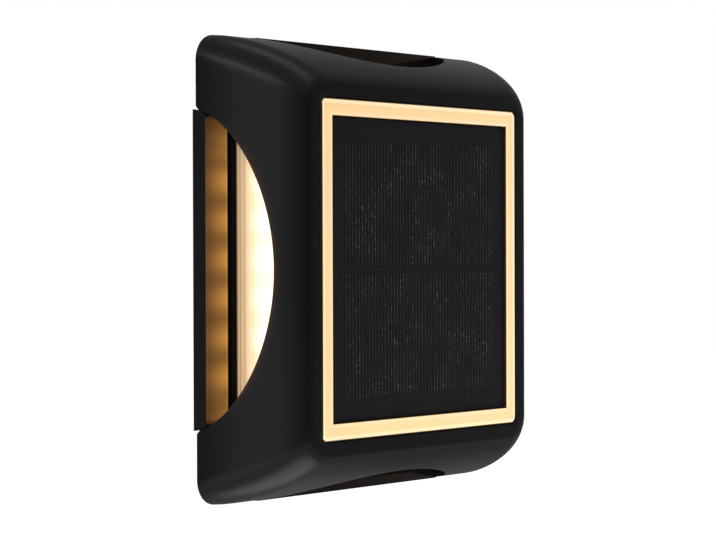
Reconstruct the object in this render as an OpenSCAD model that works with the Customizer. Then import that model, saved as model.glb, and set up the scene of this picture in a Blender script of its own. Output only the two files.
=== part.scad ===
// Square solar wall light. A black shell with four arched cut-outs stands over a milky light box.
// The light box glows through the cut-outs onto the wall, and as a narrow frame round the solar panel.
// The rear face lies in y = 0 and rests on the wall. The front faces -Y, and +Z is up.
// Depths are counted from the front plane of the light towards the wall.

/* [Overall] */
// Width and height of the shell at its rear edge
shell_w = 140; // [130:1:155]
// Depth of the whole light, from the wall to the front plane
total_depth = 33.6; // [32:0.2:38]
// How far the base stands out behind the shell's rear edge
base_proud = 1.2; // [0.8:0.1:2]

/* [Shell] */
// Width across the front, where the side would meet the front face as a sharp edge
front_w = 111.8; // [110:0.2:116]
// How fast the side swells outwards behind the front edge
swell_in = 1.69; // [1.4:0.01:2]
// How blunt that swelling is close to the front edge
swell_out = 1.34; // [1.1:0.01:1.6]
// Width of the black margin between the front edge and the window
front_margin = 4.8; // [4:0.1:6]
// How far the rounding of the front edge reaches into the front face
edge_reach = 1.5; // [1:0.1:2.4]
// How far the same rounding reaches down the side
edge_depth = 1.5; // [1:0.1:2.4]
// Corner radius at the front
corner_r_front = 8.6; // [7:0.1:10]
// Control radius that swells the corner half way back
corner_r_mid = 12.8; // [10:0.1:15]
// Corner radius at the rear edge
corner_r_rear = 7.9; // [7:0.1:10]
// Thickness of the side walls
shell_wall = 2.4; // [2:0.1:2.8]
// Thickness of the front wall
front_wall = 2.4; // [2:0.1:2.8]

/* [Arched cut-outs] */
// Half length of the arch, measured at its springing line
arch_half = 48; // [44:0.5:50]
// Height of the arch above its springing line
arch_rise = 27.4; // [25:0.1:28]
// Depth of the crown of the arch behind the front plane
arch_crown = 8.5; // [7.5:0.1:10]
// Gap between the arch and the end of the lip that fills its foot
lip_gap = 0.6; // [0.4:0.1:1.2]

/* [Light box] */
// Width of the glowing border round the panel
ring_border = 5.2; // [4:0.1:6]
// Radius of the glowing frame's outer corners
ring_corner_r = 2.8; // [1:0.1:4]
// Gap between the glowing frame and the shell's window
window_gap = 0.3; // [0.2:0.05:0.5]
// How far the glowing frame lies below the front plane
ring_recess = 0.1; // [0:0.05:0.3]
// Gap between the side of the light box and the inside of the shell, just behind the bevel
box_gap = 2.03; // [1.6:0.01:3]
// Radius of the light box's upright corners
box_corner_r = 14; // [13:0.5:18]
// Thickness of the light box's walls
box_wall = 2; // [1.6:0.1:2.4]
// Thickness of the light box's floor under the panel
box_floor = 1.8; // [1.4:0.1:2.2]
// Gap between the light box's shoulder and the shell's front wall
shoulder_gap = 0.2; // [0.1:0.05:0.4]
// How far the bevel of the light box reaches in from the side
bevel_w = 3.7; // [3.2:0.1:4.2]
// How far the same bevel reaches back
bevel_d = 5; // [4:0.1:5.5]
// How far the foot of the light box stands out of its side wall
foot_out = 0.9; // [0.6:0.1:1]
// Height of that foot
foot_h = 4.4; // [3:0.1:6]

/* [Solar panel] */
// Gap round the panel inside the glowing frame
panel_gap = 0.3; // [0.2:0.05:0.5]
// How far the panel's face lies below the front plane
panel_recess = 0.3; // [0.1:0.05:0.5]
// Thickness of the clear layer over the cells
cover_t = 0.8; // [0.6:0.1:1]
// Thickness of a cell
cell_t = 0.3; // [0.2:0.05:0.4]
// Thickness of the panel's board
panel_board_t = 1.6; // [1.2:0.1:2]
// Thickness of the foam tape that holds the panel
tape_t = 0.6; // [0.4:0.1:1]
// Width of the foam tape
tape_w = 6; // [4:0.5:10]
// Width of the dark margin between the edge of the panel and its cells
cell_margin = 5.9; // [4:0.1:8]
// Gap between the upper and the lower cell
cell_split = 1; // [0.6:0.1:2]

/* [Base] */
// Thickness of the base's rim, and height of the lip seen in each cut-out
rim_t = 4.95; // [4.5:0.05:5.5]
// Thickness of the base's floor
floor_t = 2.4; // [2:0.1:2.6]
// Gap between the base's rim and the inside of the shell
rim_gap = 0.3; // [0.2:0.1:0.6]
// How far the upstand rises above the lip
upstand_h = 2.55; // [2:0.05:3]
// Thickness of the upstand
upstand_t = 3.2; // [3:0.1:3.6]
// How far the upstand stands out past the foot of the light box
upstand_out = 0.2; // [0.1:0.05:0.4]
// Width of the gasket in the top of the upstand
gasket_w = 1.4; // [1.2:0.1:1.6]
// Height of the gasket
gasket_h = 1.15; // [0.9:0.05:1.5]
// Depth of the hollows moulded into the rear of the rim
core_depth = 2.6; // [1.5:0.1:3]
// Thickness left between those hollows and the outside of the lip
lip_skin = 3.4; // [3:0.1:4]

/* [Hanging holes] */
// Distance between the two keyholes
keyhole_pitch = 60; // [52:1:62]
// Height of the keyholes' entries above the middle of the light
keyhole_z = 35.5; // [35:0.1:36]
// Radius of the entry that takes a screw's head
keyhole_entry_r = 4.3; // [4:0.1:4.6]
// Half width of the slot that takes the screw's neck
keyhole_slot_r = 2.2; // [1.8:0.1:2.4]
// How far the screw slides up in the slot
keyhole_travel = 7; // [6:0.5:7.5]
// Depth of the hollow behind the keyhole, for the screw's head
keyhole_room = 3.6; // [3:0.1:4]

/* [Light-emitting diodes] */
// Room between the frame that carries the diode boards and the side of the light box
carrier_room = 6.1; // [5.5:0.1:7.5]
// Height of the posts that carry the frame, above the floor of the base
carrier_stand = 7.2; // [6.4:0.1:8]
// Height of the frame's walls
carrier_h = 15; // [13:0.5:16]
// Thickness of that frame's walls
carrier_wall = 1.6; // [1.4:0.1:2]
// How far the ends of a diode board stop short of the frame's corners
led_board_inset = 2; // [1:0.1:3]
// Height of a diode board
led_board_h = 10; // [8:0.5:11]
// Thickness of a diode board
led_board_t = 1.2; // [1:0.1:1.6]
// Height of the row of diodes above the foot of the frame
led_rise = 8; // [7.5:0.1:8.5]
// Diodes in a row
led_count = 8; // [6:1:8]
// Length of a diode board that the row leaves free, at both ends together
led_free = 14.8; // [12:0.1:18]
// How far the row is shifted to leave room for the board's solder pads
led_shift = 2.8; // [2:0.1:3]

/* [Battery] */
// Diameter of the cell
battery_d = 18.4; // [14:0.1:18.6]
// Length of the cell
battery_len = 65; // [60:0.5:66]
// Height of the cell above the middle of the light
battery_z = 16; // [15.6:0.1:16.4]

/* [Control board] */
// Width of the board
board_w = 60; // [56:1:64]
// Height of the board
board_h = 40; // [38:0.5:41]
// Thickness of the board
board_t = 1.6; // [1.2:0.1:2]
// Height of the board's middle below the middle of the light
board_drop = 24; // [24:0.1:24.4]

/* [Button] */
// Diameter of the button
button_d = 7.9; // [7:0.1:8.4]
// Running clearance round the button, on the radius
button_clearance = 0.06; // [0.03:0.01:0.1]
// How far the button travels
button_travel = 1.2; // [0.8:0.1:1.4]
// Height of the button's axis below the middle of the light
button_drop = 30; // [28:0.5:32]
// How far the button's face lies below the wall side of the base
button_recess = 0.6; // [0.4:0.1:0.8]

/* [Hidden] */
$fn = 64;

SIDES = ["right", "top", "left", "bottom"];

shell_depth = total_depth - base_proud;
rear_half = shell_w / 2;
front_half = front_w / 2;
window_w = front_w - 2 * front_margin;
ring_w = window_w - 2 * window_gap;
panel_w = ring_w - 2 * ring_border - 2 * panel_gap;
panel_corner_r = 0.5;
cells_w = panel_w - 2 * cell_margin;
tape_inset = 0.5;
arch_centre = arch_crown + arch_rise;

cells_at = panel_recess + cover_t;
panel_board_at = cells_at + cell_t;
tape_at = panel_board_at + panel_board_t;
box_floor_at = tape_at + tape_t;
shoulder_at = front_wall + shoulder_gap;
box_w = tenth(2 * (side_half(shoulder_at + bevel_d) - shell_wall - box_gap));

lip_at = total_depth - rim_t;
foot_at = lip_at - upstand_h;
floor_at = total_depth - floor_t;
rim_half = side_half(lip_at) - shell_wall - rim_gap;
rim_corner_r = shell_corner(lip_at) - shell_wall;
upstand_w = box_w + 2 * foot_out + 2 * upstand_out;
upstand_corner_r = box_corner_r + foot_out + upstand_out;
core_skin = 0.4;
core_gap = 3;
core_end = 8.5;
core_w = rear_half - lip_skin - upstand_w / 2 - core_skin;
core_len = arch_half - core_end - core_gap / 2;
keyhole_skin = 1.2;

boss_r = 3.2;
boss_start = 12.7;
boss_sink = 0.88;
boss_at = tenth(inner_diagonal(boss_start) - boss_sink);
screw_r = 1.45;
screw_len = 11;
screw_head_r = 2.8;
screw_head_h = 1.8;
screw_sink = 0.4;
screw_seat = total_depth - screw_sink - screw_head_h;
small_screw_r = 1.1;
small_head_r = 2.4;
small_head_h = 1.6;
small_screw_len = 7;
short_screw_len = 6;
cross_w = 0.7;
cross_ratio = 1.1;
cross_deep = 1;
small_cross_deep = 0.8;
pilot_gap = 0.05;
free_gap = 0.3;
post_r = 3;
post_skin = 0.6;
root = 0.5;
past = 1;

carrier_w = box_w - 2 * box_wall - 2 * carrier_room;
carrier_foot = floor_at - carrier_stand;
carrier_front = carrier_foot - carrier_h;
led_depth = carrier_foot - led_rise;
led_board_len = carrier_w - 2 * led_board_inset;
led_pitch = (led_board_len - led_free) / (led_count - 1);
carrier_corner_r = 4;
ear_t = 1.6;
ear_half = 4.5;
ear_inset = 6.5;
ear_at = carrier_w / 2 - ear_inset;
led_w = 3.5;
led_h = 2.8;
led_t = 0.8;
led_window_r = 1.1;
led_window_deep = 0.24;
link_t = 0.4;
link_h = 6;
link_lap = 2.2;
link_corner_r = 3;
link_block = 10;
led_lead_inset = 14;
led_lead_x = led_lead_inset - carrier_w / 2;
led_lead_r = 2.4;

battery_r = battery_d / 2;
battery_lift = 0.6;
battery_at = floor_at - battery_lift - battery_r;
cradle_gap = 0.1;
cradle_t = 3;
cradle_side = 2;
cradle_inset = 11;
cradle_x = battery_len / 2 - cradle_inset;
can_foot = 1;
can_edge = 0.8;
groove_inset = 2.4;
groove_half = 0.6;
terminal_r = 3.4;
terminal_t = 0.8;
tab_len = 8;
tab_w = 4;
tab_t = 0.3;
strap_w = 12;
strap_t = 1.6;
strap_gap = 0.15;
strap_foot = 7;
strap_drop = 2.8;
strap_hole = 3.3;
strap_foot_at = battery_at + strap_drop;
strap_screw_out = battery_r + strap_gap + strap_t + strap_hole;

button_r = button_d / 2;
button_z = -button_drop;
button_guide_len = 3.4;
button_well = 1.2;
button_land = 3.4;
button_well_r = button_r + button_land;
guide_wall = 1.8;
button_dish_r = 12;
button_dish = 0.4;
seal_t = 0.6;
seal_play = 0.05;
flange_t = 0.8;
flange_out = 1.3;
plunger_r = 1.6;
plunger_clearance = 0.05;
plunger_out = 1.75;
plunger_play = 0.1;
switch_w = 8;
switch_h = 3.9;
switch_floor = 0.5;
button_guide_at = total_depth - button_well - button_guide_len;
flange_at = button_guide_at - seal_t - seal_play - flange_t;

board_at = flange_at - plunger_out - switch_h - board_t;
board_z = -board_drop;
board_hole_inset = 4;
chip_size = [8, 6, 1.6];
chip_place = [-4, board_z - 4];
coil_r = 4.5;
coil_h = 4.5;
coil_core_r = 1.6;
coil_dish = 1.3;
coil_place = [10, board_z - 6];
capacitor_r = 3.2;
capacitor_h = 8;
capacitor_place = [-12, board_z + 6];
socket_w = 7;
socket_h = 6;
socket_front = board_at - socket_h;
panel_socket = [20, board_z + 9, socket_front];
battery_socket = [0, board_z + 12, socket_front];
led_socket = [-20, board_z - 7, socket_front];
panel_lead_r = 3.5;

wire_r = 0.65;
wire_sides = 8;
wire_pitch = 2.4;
wire_tilt = [0.83, 0.31, 0.46];
panel_lead = [20, board_z - 6, tape_at];
led_lead = [led_lead_x, -carrier_w / 2, led_depth];
battery_lead = [battery_len / 2 + terminal_t + tab_t, battery_z, battery_at];
battery_entry = battery_socket + [1.6, 0, 0];
plug_in = [[0, 0, -2.4], [0, 0, -1.2], [0, 0, 0]];
panel_route = concat(
    at_place(panel_lead, [[0, 0, 0], [0, 0, 1.5], [0, 0, 3], [0, 1, 6], [0, 5, 8.2]]),
    at_place(panel_socket, [[0, -5, -2.9], [0, -0.5, -3.1]]), at_place(panel_socket, plug_in));
led_route = concat(
    at_place(led_lead, [[0, 0, 0], [0, 1, 0], [0, 2, 0], [0.6, 6, -0.8], [4, 10, -3]]),
    at_place(led_socket, [[-6, -4, -2.8], [-0.6, -0.3, -3.1]]), at_place(led_socket, plug_in));
battery_route = concat(
    at_place(battery_lead, [[0, 0, 0], [0.8, 0, 0], [1.6, 0, 0], [3, -4, -0.8], [0.6, -13, -4.4]]),
    at_place(battery_entry, [[24.4, 8, -0.8], [12.4, 3, -2.6], [1.6, 0.2, -3.3]]),
    at_place(battery_entry, plug_in));

corner_steps = 14;
arch_steps = 48;
outer_rows = 12;
edge_rows = 6;
inner_rows = 6;

shell_black = "#232325";
milky = "#ffe2ae";
clear_blue = "#6f7688";
cell_dark = "#1b1a1d";
board_black = "#151517";
board_white = "#eceae4";
board_green = "#2c6b45";
tape_grey = "#57585a";
silicone = "#8b8d90";
white_plastic = "#e8e6e0";
steel = "#b9bcc0";
sleeve_blue = "#2e5f9e";
copper = "#b06a3b";
wire_red = "#b3261e";
led_yellow = "#f4d77a";

// Length rounded to a tenth of a millimetre, as it is drawn for the mould maker
function tenth(length) = round(10 * length) / 10;

// Depth behind the front plane, as a y value
function fy(depth) = depth - total_depth;

// Half width of the shell's side at a depth
function side_half(depth) = let (t = depth / shell_depth)
    front_half + (rear_half - front_half) * pow(1 - pow(1 - t, swell_in), 1 / swell_out);

// Corner radius of the shell at a depth: a curve through the front, middle and rear radii
function shell_corner(depth) = let (t = depth / shell_depth)
    pow(1 - t, 2) * corner_r_front + 2 * t * (1 - t) * corner_r_mid + t * t * corner_r_rear;

// How far along x and z the corner of the shell's inner side lies, at a depth
function inner_diagonal(depth) =
    side_half(depth) - shell_wall - (shell_corner(depth) - shell_wall) * (1 - cos(45));

// Route points given from a place
function at_place(place, offsets) = [for (p = offsets) place + p];

// Points round a square with rounded corners, at one depth
function square_ring(half, r, depth) = [
    for (quarter = [0:3], i = [0:corner_steps])
        let (a = 90 * (quarter + i / corner_steps), mid = 90 * quarter + 45, c = (half - r) * sqrt(2))
            [c * cos(mid) + r * cos(a), fy(depth), c * sin(mid) + r * sin(a)]
];

// Rows of the shell's wall: half width, corner radius and depth
function outer_row(depth) = [side_half(depth), shell_corner(depth), depth];
function inner_row(depth) = [side_half(depth) - shell_wall, shell_corner(depth) - shell_wall, depth];
function edge_row(s) = let (depth = edge_depth * s * s)
    [pow(1 - s, 2) * (front_half - edge_reach) + 2 * s * (1 - s) * front_half + s * s * side_half(edge_depth),
        shell_corner(depth), depth];
function window_row(depth) = [window_w / 2, ring_corner_r + window_gap, depth];
shell_rows = concat(
    [for (i = [outer_rows:-1:1])
        outer_row(edge_depth + (shell_depth - edge_depth) * pow(i / outer_rows, 2))],
    [for (i = [edge_rows:-1:0]) edge_row(i / edge_rows)],
    [window_row(0), window_row(front_wall)],
    [for (i = [0:inner_rows]) inner_row(front_wall + (shell_depth - front_wall) * pow(i / inner_rows, 2))]);

// A closed wall, lofted through rows that run once round its cross-section
module wall_loft(rows) {
    rings = [for (row = rows) square_ring(row[0], row[1], row[2])];
    n = len(rings[0]);
    m = len(rings);
    polyhedron(
        points = [for (ring = rings, p = ring) p],
        faces = [for (i = [0:m - 1], j = [0:n - 1])
            let (a = i * n + j, b = i * n + (j + 1) % n,
                c = ((i + 1) % m) * n + (j + 1) % n, d = ((i + 1) % m) * n + j)
            each [[a, c, b], [a, d, c]]],
        convexity = 6);
}

// Flat square with rounded corners
module rounded_square(w, r) {
    square([w - 2 * r, w], center = true);
    square([w, w - 2 * r], center = true);
    for (x = [-1, 1], y = [-1, 1]) translate([x * (w / 2 - r), y * (w / 2 - r)]) circle(r);
}

// Anything drawn flat as seen from the front, between two depths
module between(from, to) {
    translate([0, fy(to), 0]) rotate([90, 0, 0]) linear_extrude(to - from) children();
}

module slab(w, r, from, to) {
    between(from, to) rounded_square(w, r);
}

// A round post along the depth
module post(x, z, r, from, to) {
    translate([x, fy(to), z]) rotate([90, 0, 0]) cylinder(r = r, h = to - from);
}

module block(x, z, w, h, from, to) {
    translate([x - w / 2, fy(from), z - h / 2]) cube([w, to - from, h]);
}

// Places what is drawn on the right-hand side on one named side of the light
module on_side(side) {
    rotate([0, -90 * search([side], SIDES)[0], 0]) children();
}

module on_all_sides() {
    for (side = SIDES) on_side(side) children();
}

module at_corners(distance) {
    for (x = [-1, 1], z = [-1, 1]) translate([x * distance, 0, z * distance]) children();
}

// Half ellipse of a cut-out, drawn along the edge and the depth, and smaller by a gap
function arch_points(gap) = [
    for (i = [0:arch_steps]) let (a = 180 * i / arch_steps)
        [(arch_half - gap) * cos(a), arch_centre - (arch_rise - gap) * sin(a)]
];

// Extrudes a shape drawn along the edge and the depth, outwards through the right-hand wall
module outwards(from, to) {
    translate([from, -total_depth, 0]) rotate([90, 0, 90]) linear_extrude(to - from)
        rotate(90) mirror([0, 1]) children();
}

module outer_shell() {
    color(shell_black) {
        difference() {
            wall_loft(shell_rows);
            on_all_sides() outwards(box_w / 2 - past, rear_half + past) polygon(arch_points(0));
        }
        at_corners(boss_at) difference() {
            post(0, 0, boss_r, boss_start, lip_at);
            post(0, 0, screw_r + pilot_gap, screw_seat - screw_len - past, lip_at + past);
        }
    }
}

// Section of the light box: half width by depth, with a bevelled shoulder
module bevelled_section(w, from, to) {
    polygon([[-w / 2, to], [-w / 2, from + bevel_d], [-w / 2 + bevel_w, from],
        [w / 2 - bevel_w, from], [w / 2, from + bevel_d], [w / 2, to]]);
}

module bevelled_box(w, r, from, to) {
    intersection() {
        slab(w, r, from, to);
        translate([0, -total_depth, -w / 2]) linear_extrude(w) bevelled_section(w, from, to);
        translate([-w / 2, -total_depth, 0]) rotate([90, 0, 90]) linear_extrude(w)
            rotate(90) mirror([0, 1]) bevelled_section(w, from, to);
    }
}

module diffuser() {
    ceiling = box_floor_at + box_floor;
    color(milky) difference() {
        union() {
            bevelled_box(box_w, box_corner_r, shoulder_at, foot_at);
            slab(box_w + 2 * foot_out, box_corner_r + foot_out, foot_at - foot_h, foot_at);
            slab(ring_w, ring_corner_r, ring_recess, shoulder_at + root);
        }
        bevelled_box(box_w - 2 * box_wall, box_corner_r - box_wall, ceiling, foot_at + past);
        slab(panel_w + 2 * panel_gap, panel_corner_r, ring_recess - past, box_floor_at);
        post(panel_lead[0], panel_lead[1], panel_lead_r, box_floor_at - past, ceiling + past);
    }
}

module cell_fields(from, to) {
    h = (cells_w - cell_split) / 2;
    for (s = [-1, 1]) block(0, s * (h + cell_split) / 2, cells_w, h, from, to);
}

module panel_cover() {
    color(clear_blue, 0.35) difference() {
        slab(panel_w, panel_corner_r, panel_recess, panel_board_at);
        cell_fields(cells_at, panel_board_at + past);
    }
}

module solar_cells() {
    color(cell_dark) cell_fields(cells_at, panel_board_at);
}

module panel_board() {
    color(board_black) slab(panel_w, panel_corner_r, panel_board_at, tape_at);
}

module panel_tape() {
    color(tape_grey) difference() {
        slab(panel_w - 2 * tape_inset, panel_corner_r, tape_at, box_floor_at);
        slab(panel_w - 2 * tape_inset - 2 * tape_w, panel_corner_r, tape_at - past, box_floor_at + past);
    }
}

// Ring of the given width that runs along the middle of the upstand
module gasket_ring(width, from, to) {
    middle = upstand_w - upstand_t;
    r = upstand_corner_r - upstand_t / 2;
    difference() {
        slab(middle + width, r + width / 2, from, to);
        slab(middle - width, r - width / 2, from - past, to + past);
    }
}

module lens_gasket() {
    color(silicone) gasket_ring(gasket_w, foot_at, foot_at + gasket_h);
}

// The part of the lip that fills the foot of a cut-out and ends flush with the shell
module lip() {
    reach = arch_half - lip_gap;
    intersection() {
        outwards(rim_half - past, rear_half) {
            polygon(arch_points(lip_gap));
            translate([-reach, arch_centre]) square([2 * reach, total_depth]);
        }
        translate([0, fy(lip_at), -rear_half]) cube([rear_half, rim_t, shell_w]);
    }
}

// Round-ended outline along the slot of a keyhole
module slot_outline(r) {
    circle(r);
    translate([-r, 0]) square([2 * r, keyhole_travel]);
    translate([0, keyhole_travel]) circle(r);
}

module at_keyholes() {
    for (s = [-1, 1]) translate([s * keyhole_pitch / 2, 0, keyhole_z]) children();
}

// Closed housing behind a keyhole, which keeps water out of the base
module keyhole_housing() {
    between(floor_at - keyhole_room - keyhole_skin, floor_at + root)
        slot_outline(keyhole_entry_r + keyhole_skin);
}

// Round entry and narrow slot through the floor, with room for the screw's head behind them
module keyhole_hollow() {
    between(floor_at - past, total_depth + past) {
        circle(keyhole_entry_r);
        slot_outline(keyhole_slot_r);
    }
    between(floor_at - keyhole_room, floor_at) slot_outline(keyhole_entry_r);
}

module battery_cradle(x) {
    difference() {
        block(x, battery_z, cradle_t, battery_d + 2 * cradle_side, battery_at, floor_at + root);
        translate([x - cradle_t, fy(battery_at), battery_z]) rotate([0, 90, 0])
            cylinder(r = battery_r + cradle_gap, h = 2 * cradle_t);
    }
}

// A screw post that stands on the floor of the base, with a blind pilot hole
module screw_post(top) {
    difference() {
        post(0, 0, post_r, top, floor_at + root);
        post(0, 0, small_screw_r + pilot_gap, top - past, floor_at - post_skin);
    }
}

module at_board_holes() {
    reach = [board_w / 2 - board_hole_inset, board_h / 2 - board_hole_inset];
    for (x = [-1, 1], z = [-1, 1]) translate([x * reach[0], 0, board_z + z * reach[1]]) children();
}

module at_strap_screws() {
    for (s = [-1, 1]) translate([0, 0, battery_z + s * strap_screw_out]) children();
}

// Hollows in the rear of the rim that keep its wall even
module rim_cores() {
    middle = upstand_w / 2 + core_skin + core_w / 2;
    on_all_sides() for (s = [-1, 1])
        block(middle, s * (core_len + core_gap) / 2, core_w, core_len,
            total_depth - core_depth, total_depth + past);
}

module base_plate() {
    guide_r = button_r + button_clearance;
    color(shell_black) difference() {
        union() {
            difference() {
                union() {
                    slab(2 * rim_half, rim_corner_r, lip_at, total_depth);
                    slab(upstand_w, upstand_corner_r, foot_at, total_depth);
                    on_all_sides() lip();
                }
                slab(upstand_w - 2 * upstand_t, upstand_corner_r - upstand_t, foot_at - past, floor_at);
            }
            at_keyholes() keyhole_housing();
            for (s = [-1, 1]) battery_cradle(s * cradle_x);
            at_strap_screws() screw_post(strap_foot_at + strap_t);
            at_board_holes() screw_post(board_at + board_t);
            at_corners(ear_at) screw_post(carrier_foot);
            post(0, button_z, guide_r + guide_wall, button_guide_at, total_depth);
        }
        at_keyholes() keyhole_hollow();
        gasket_ring(gasket_w + 2 * pilot_gap, foot_at - past, foot_at + gasket_h + pilot_gap);
        at_corners(boss_at) {
            post(0, 0, screw_r + free_gap, lip_at - past, total_depth + past);
            post(0, 0, screw_head_r + free_gap, screw_seat, total_depth + past);
        }
        post(0, button_z, guide_r, button_guide_at - past, total_depth + past);
        post(0, button_z, button_well_r, total_depth - button_well, total_depth + past);
        rim_cores();
    }
}

// Square frame of low walls, with a screw ear in each corner
module led_carrier() {
    color(white_plastic) difference() {
        union() {
            difference() {
                slab(carrier_w, carrier_corner_r, carrier_front, carrier_foot);
                slab(carrier_w - 2 * carrier_wall, carrier_corner_r - carrier_wall,
                    carrier_front - past, carrier_foot + past);
            }
            intersection() {
                slab(carrier_w, carrier_corner_r, carrier_foot - ear_t, carrier_foot);
                at_corners(ear_at + ear_half)
                    block(0, 0, 4 * ear_half, 4 * ear_half, carrier_foot - ear_t, carrier_foot);
            }
        }
        at_corners(ear_at)
            post(0, 0, small_screw_r + free_gap, carrier_foot - ear_t - past, carrier_foot + past);
        translate([led_lead_x, fy(led_depth), -carrier_w / 2 - past])
            cylinder(r = led_lead_r, h = carrier_wall + 2 * past);
    }
}

// Strip board on the right-hand side of the carrier
module led_board_shape() {
    translate([carrier_w / 2, fy(led_depth - led_board_h / 2), -led_board_len / 2])
        cube([led_board_t, led_board_h, led_board_len]);
}

// Row of diodes that face outwards, each with a round window of phosphor
module led_row() {
    for (i = [0:led_count - 1]) let (z = (i - (led_count - 1) / 2) * led_pitch + led_shift)
        translate([carrier_w / 2 + led_board_t, fy(led_depth), z])
            difference() {
                translate([0, -led_h / 2, -led_w / 2]) cube([led_t, led_h, led_w]);
                translate([led_t - led_window_deep, 0, 0]) rotate([0, 90, 0])
                    cylinder(r = led_window_r, h = led_t);
            }
}

module led_board(side) { color(board_white) on_side(side) led_board_shape(); }
module led_group(side) { color(led_yellow) on_side(side) led_row(); }

// Thin bent jumpers that join one diode board to the next round each corner
module led_links() {
    inner = carrier_w + 2 * led_board_t;
    from = led_depth - link_h / 2;
    lap = led_board_len / 2 - link_lap;
    color(copper) intersection() {
        difference() {
            slab(inner + 2 * link_t, link_corner_r + link_t, from, from + link_h);
            slab(inner, link_corner_r, from - past, from + link_h + past);
        }
        at_corners(lap + link_block) block(0, 0, 2 * link_block, 2 * link_block, from, from + link_h);
    }
}

// Round cell with the groove of its can showing through the sleeve
module battery_cell() {
    groove = battery_len - groove_inset;
    color(sleeve_blue) translate([-battery_len / 2, fy(battery_at), battery_z]) rotate([0, 90, 0])
        rotate_extrude() polygon([[0, 0], [battery_r - can_foot, 0], [battery_r, can_foot],
            [battery_r, groove - groove_half], [battery_r - groove_half, groove],
            [battery_r, groove + groove_half], [battery_r, battery_len - can_edge],
            [battery_r - can_edge, battery_len], [0, battery_len]]);
}

// Terminal and welded tab on each end of the cell
module battery_terminals() {
    color(steel) for (s = [-1, 1]) translate([s * battery_len / 2, fy(battery_at), battery_z])
        rotate([0, s * 90, 0]) {
            cylinder(r = terminal_r, h = terminal_t);
            translate([-tab_len / 2, -tab_w / 2, terminal_t]) cube([tab_len, tab_w, tab_t]);
        }
}

// Strap over the battery, with a foot and a screw on each side
module battery_clamp() {
    inner_r = battery_r + strap_gap;
    outer_r = inner_r + strap_t;
    leg = strap_foot_at + strap_t - battery_at;
    color(white_plastic) translate([-strap_w / 2, fy(battery_at), battery_z]) difference() {
        union() {
            rotate([0, 90, 0]) cylinder(r = outer_r, h = strap_w);
            translate([0, 0, -outer_r]) cube([strap_w, leg, 2 * outer_r]);
            translate([0, leg - strap_t, -outer_r - strap_foot])
                cube([strap_w, strap_t, 2 * (outer_r + strap_foot)]);
        }
        translate([-past, 0, 0]) rotate([0, 90, 0]) cylinder(r = inner_r, h = strap_w + 2 * past);
        translate([-past, 0, -inner_r]) cube([strap_w + 2 * past, leg + outer_r, 2 * inner_r]);
        translate([-past, leg, -2 * outer_r]) cube([strap_w + 2 * past, outer_r, 4 * outer_r]);
        for (s = [-1, 1]) translate([strap_w / 2, leg + past, s * strap_screw_out]) rotate([90, 0, 0])
            cylinder(r = small_screw_r + free_gap, h = strap_t + 2 * past);
    }
}

module control_board() {
    color(board_green) difference() {
        block(0, board_z, board_w, board_h, board_at, board_at + board_t);
        at_board_holes() post(0, 0, small_screw_r + free_gap, board_at - past, board_at + board_t + past);
    }
}

module control_chip() {
    color(board_black) block(chip_place[0], chip_place[1], chip_size[0], chip_size[1],
        board_at - chip_size[2], board_at);
}

// Coil wound on a round core with a recess in its end
module boost_coil() {
    color(copper) difference() {
        post(coil_place[0], coil_place[1], coil_r, board_at - coil_h, board_at);
        post(coil_place[0], coil_place[1], coil_core_r, board_at - coil_h - past,
            board_at - coil_h + coil_dish);
    }
}

module buffer_capacitor() {
    color(sleeve_blue)
        post(capacitor_place[0], capacitor_place[1], capacitor_r, board_at - capacitor_h, board_at);
}

// Sockets for the leads of the panel, the battery and the diodes
module wire_sockets() {
    color(white_plastic) for (p = [panel_socket, battery_socket, led_socket])
        block(p[0], p[1], socket_w, socket_h, p[2], board_at);
}

module switch_body() {
    front = board_at + board_t;
    color(board_black) difference() {
        block(0, button_z, switch_w, switch_w, front, front + switch_h);
        post(0, button_z, plunger_r + plunger_clearance, front + switch_floor, front + switch_h + past);
    }
}

module switch_plunger() {
    bottom = board_at + board_t + switch_floor;
    color(white_plastic) post(0, button_z, plunger_r, bottom + button_travel + plunger_play, flange_at);
}

// Round button with a dished face and a flange that keeps it in its guide
module power_button() {
    face_at = total_depth - button_recess;
    color(shell_black) difference() {
        union() {
            post(0, button_z, button_r, flange_at, face_at);
            post(0, button_z, button_r + flange_out, flange_at, flange_at + flange_t);
        }
        translate([0, fy(face_at) + button_dish_r - button_dish, button_z]) sphere(r = button_dish_r);
    }
}

module button_seal() {
    color(silicone) difference() {
        post(0, button_z, button_r + flange_out, button_guide_at - seal_t, button_guide_at);
        post(0, button_z, button_r + free_gap, button_guide_at - seal_t - past, button_guide_at + past);
    }
}

// Smooth curve through hand-placed route points of x, z and depth
function spline(p, i, s) = let (
    a = p[max(i - 1, 0)], b = p[i], c = p[i + 1], d = p[min(i + 2, len(p) - 1)])
    0.5 * (2 * b + (c - a) * s + (2 * a - 5 * b + 4 * c - d) * s * s + (3 * b - a - 3 * c + d) * s * s * s);
function route(p, steps) = concat(
    [for (i = [0:len(p) - 2], k = [0:steps - 1]) spline(p, i, k / steps)], [p[len(p) - 1]]);
function unit(v) = v / norm(v);

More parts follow.
